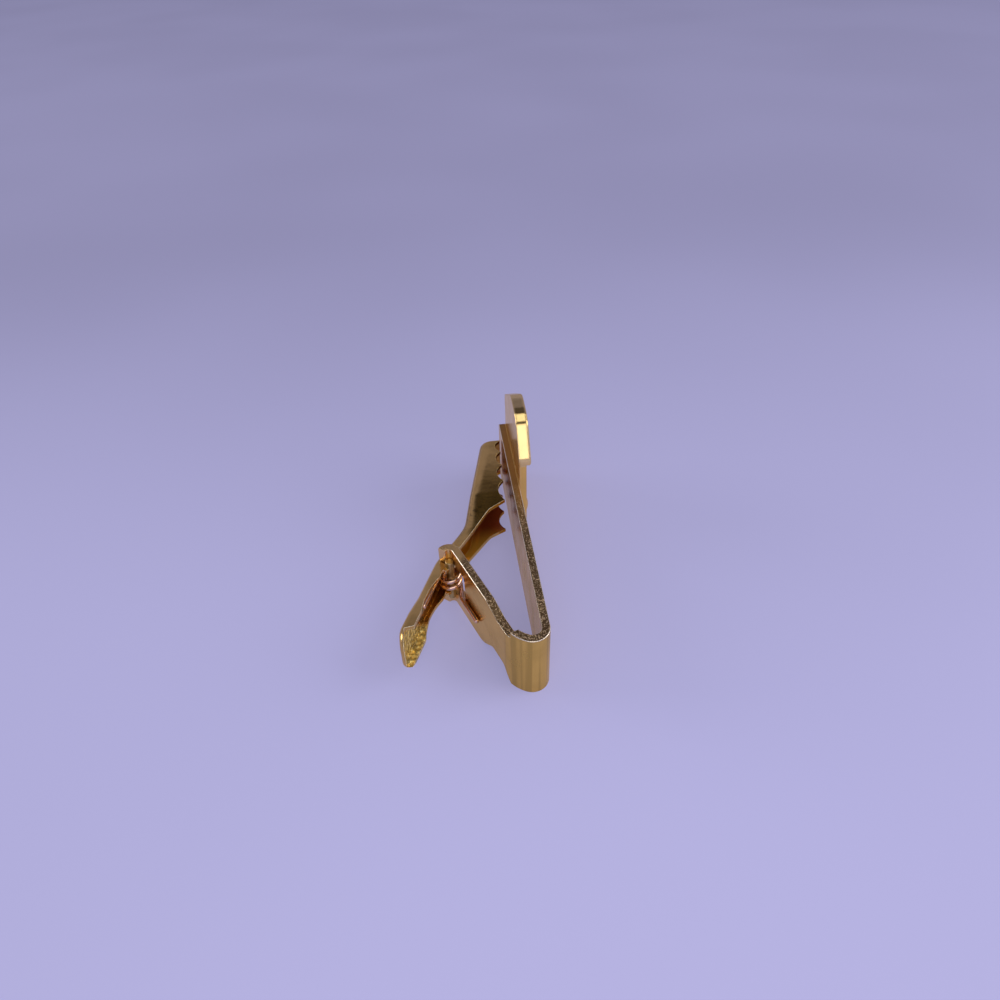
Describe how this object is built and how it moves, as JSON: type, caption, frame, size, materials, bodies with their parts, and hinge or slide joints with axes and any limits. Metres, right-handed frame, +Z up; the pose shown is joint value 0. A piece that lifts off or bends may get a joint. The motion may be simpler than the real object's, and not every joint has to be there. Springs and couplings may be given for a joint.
{
  "type": "tie clip",
  "caption": "Gold-coloured tie clip: a strip folded into a V, a sprung alligator jaw with scalloped teeth pivoting at the end of the short leg, and a plain ornament at the open end.",
  "frame": {"origin": "on the strip's lower edge, in the middle of the bar's thickness, level with the centre of the fold", "axes": "+X out through the bar's front, +Y along the bar from the fold to the open end, +Z up across the strip"},
  "size_m": [0.0149, 0.0322, 0.0149],
  "materials": {
    "polished_strip": "polished gold-plated strip with darker cut edges",
    "stamped_sheet": "bright gold-plated sheet, darker inside the channel",
    "pin_metal": "drawn wire, gold-plated",
    "spring_wire": "copper-coloured plated spring wire",
    "cast_ornament": "polished gold-plated casting"
  },
  "bodies": {
    "frame": {"folded_bar": "polished_strip", "hinge_pin": "pin_metal", "torsion_spring": "spring_wire", "ornament": "cast_ornament"},
    "jaw": {"alligator_jaw": "stamped_sheet"}
  },
  "joints": [
    {"name": "jaw_pivot", "type": "hinge", "parent": "frame", "child": "jaw", "pos_m": [-0.00781, 0.01013, 0.00375], "axis": [0, 0, 1], "range_deg": [0, 40], "stiffness_Nm_per_rad": 0.004, "springref_deg": -34.38, "deforming": ["torsion_spring"]}
  ]
}
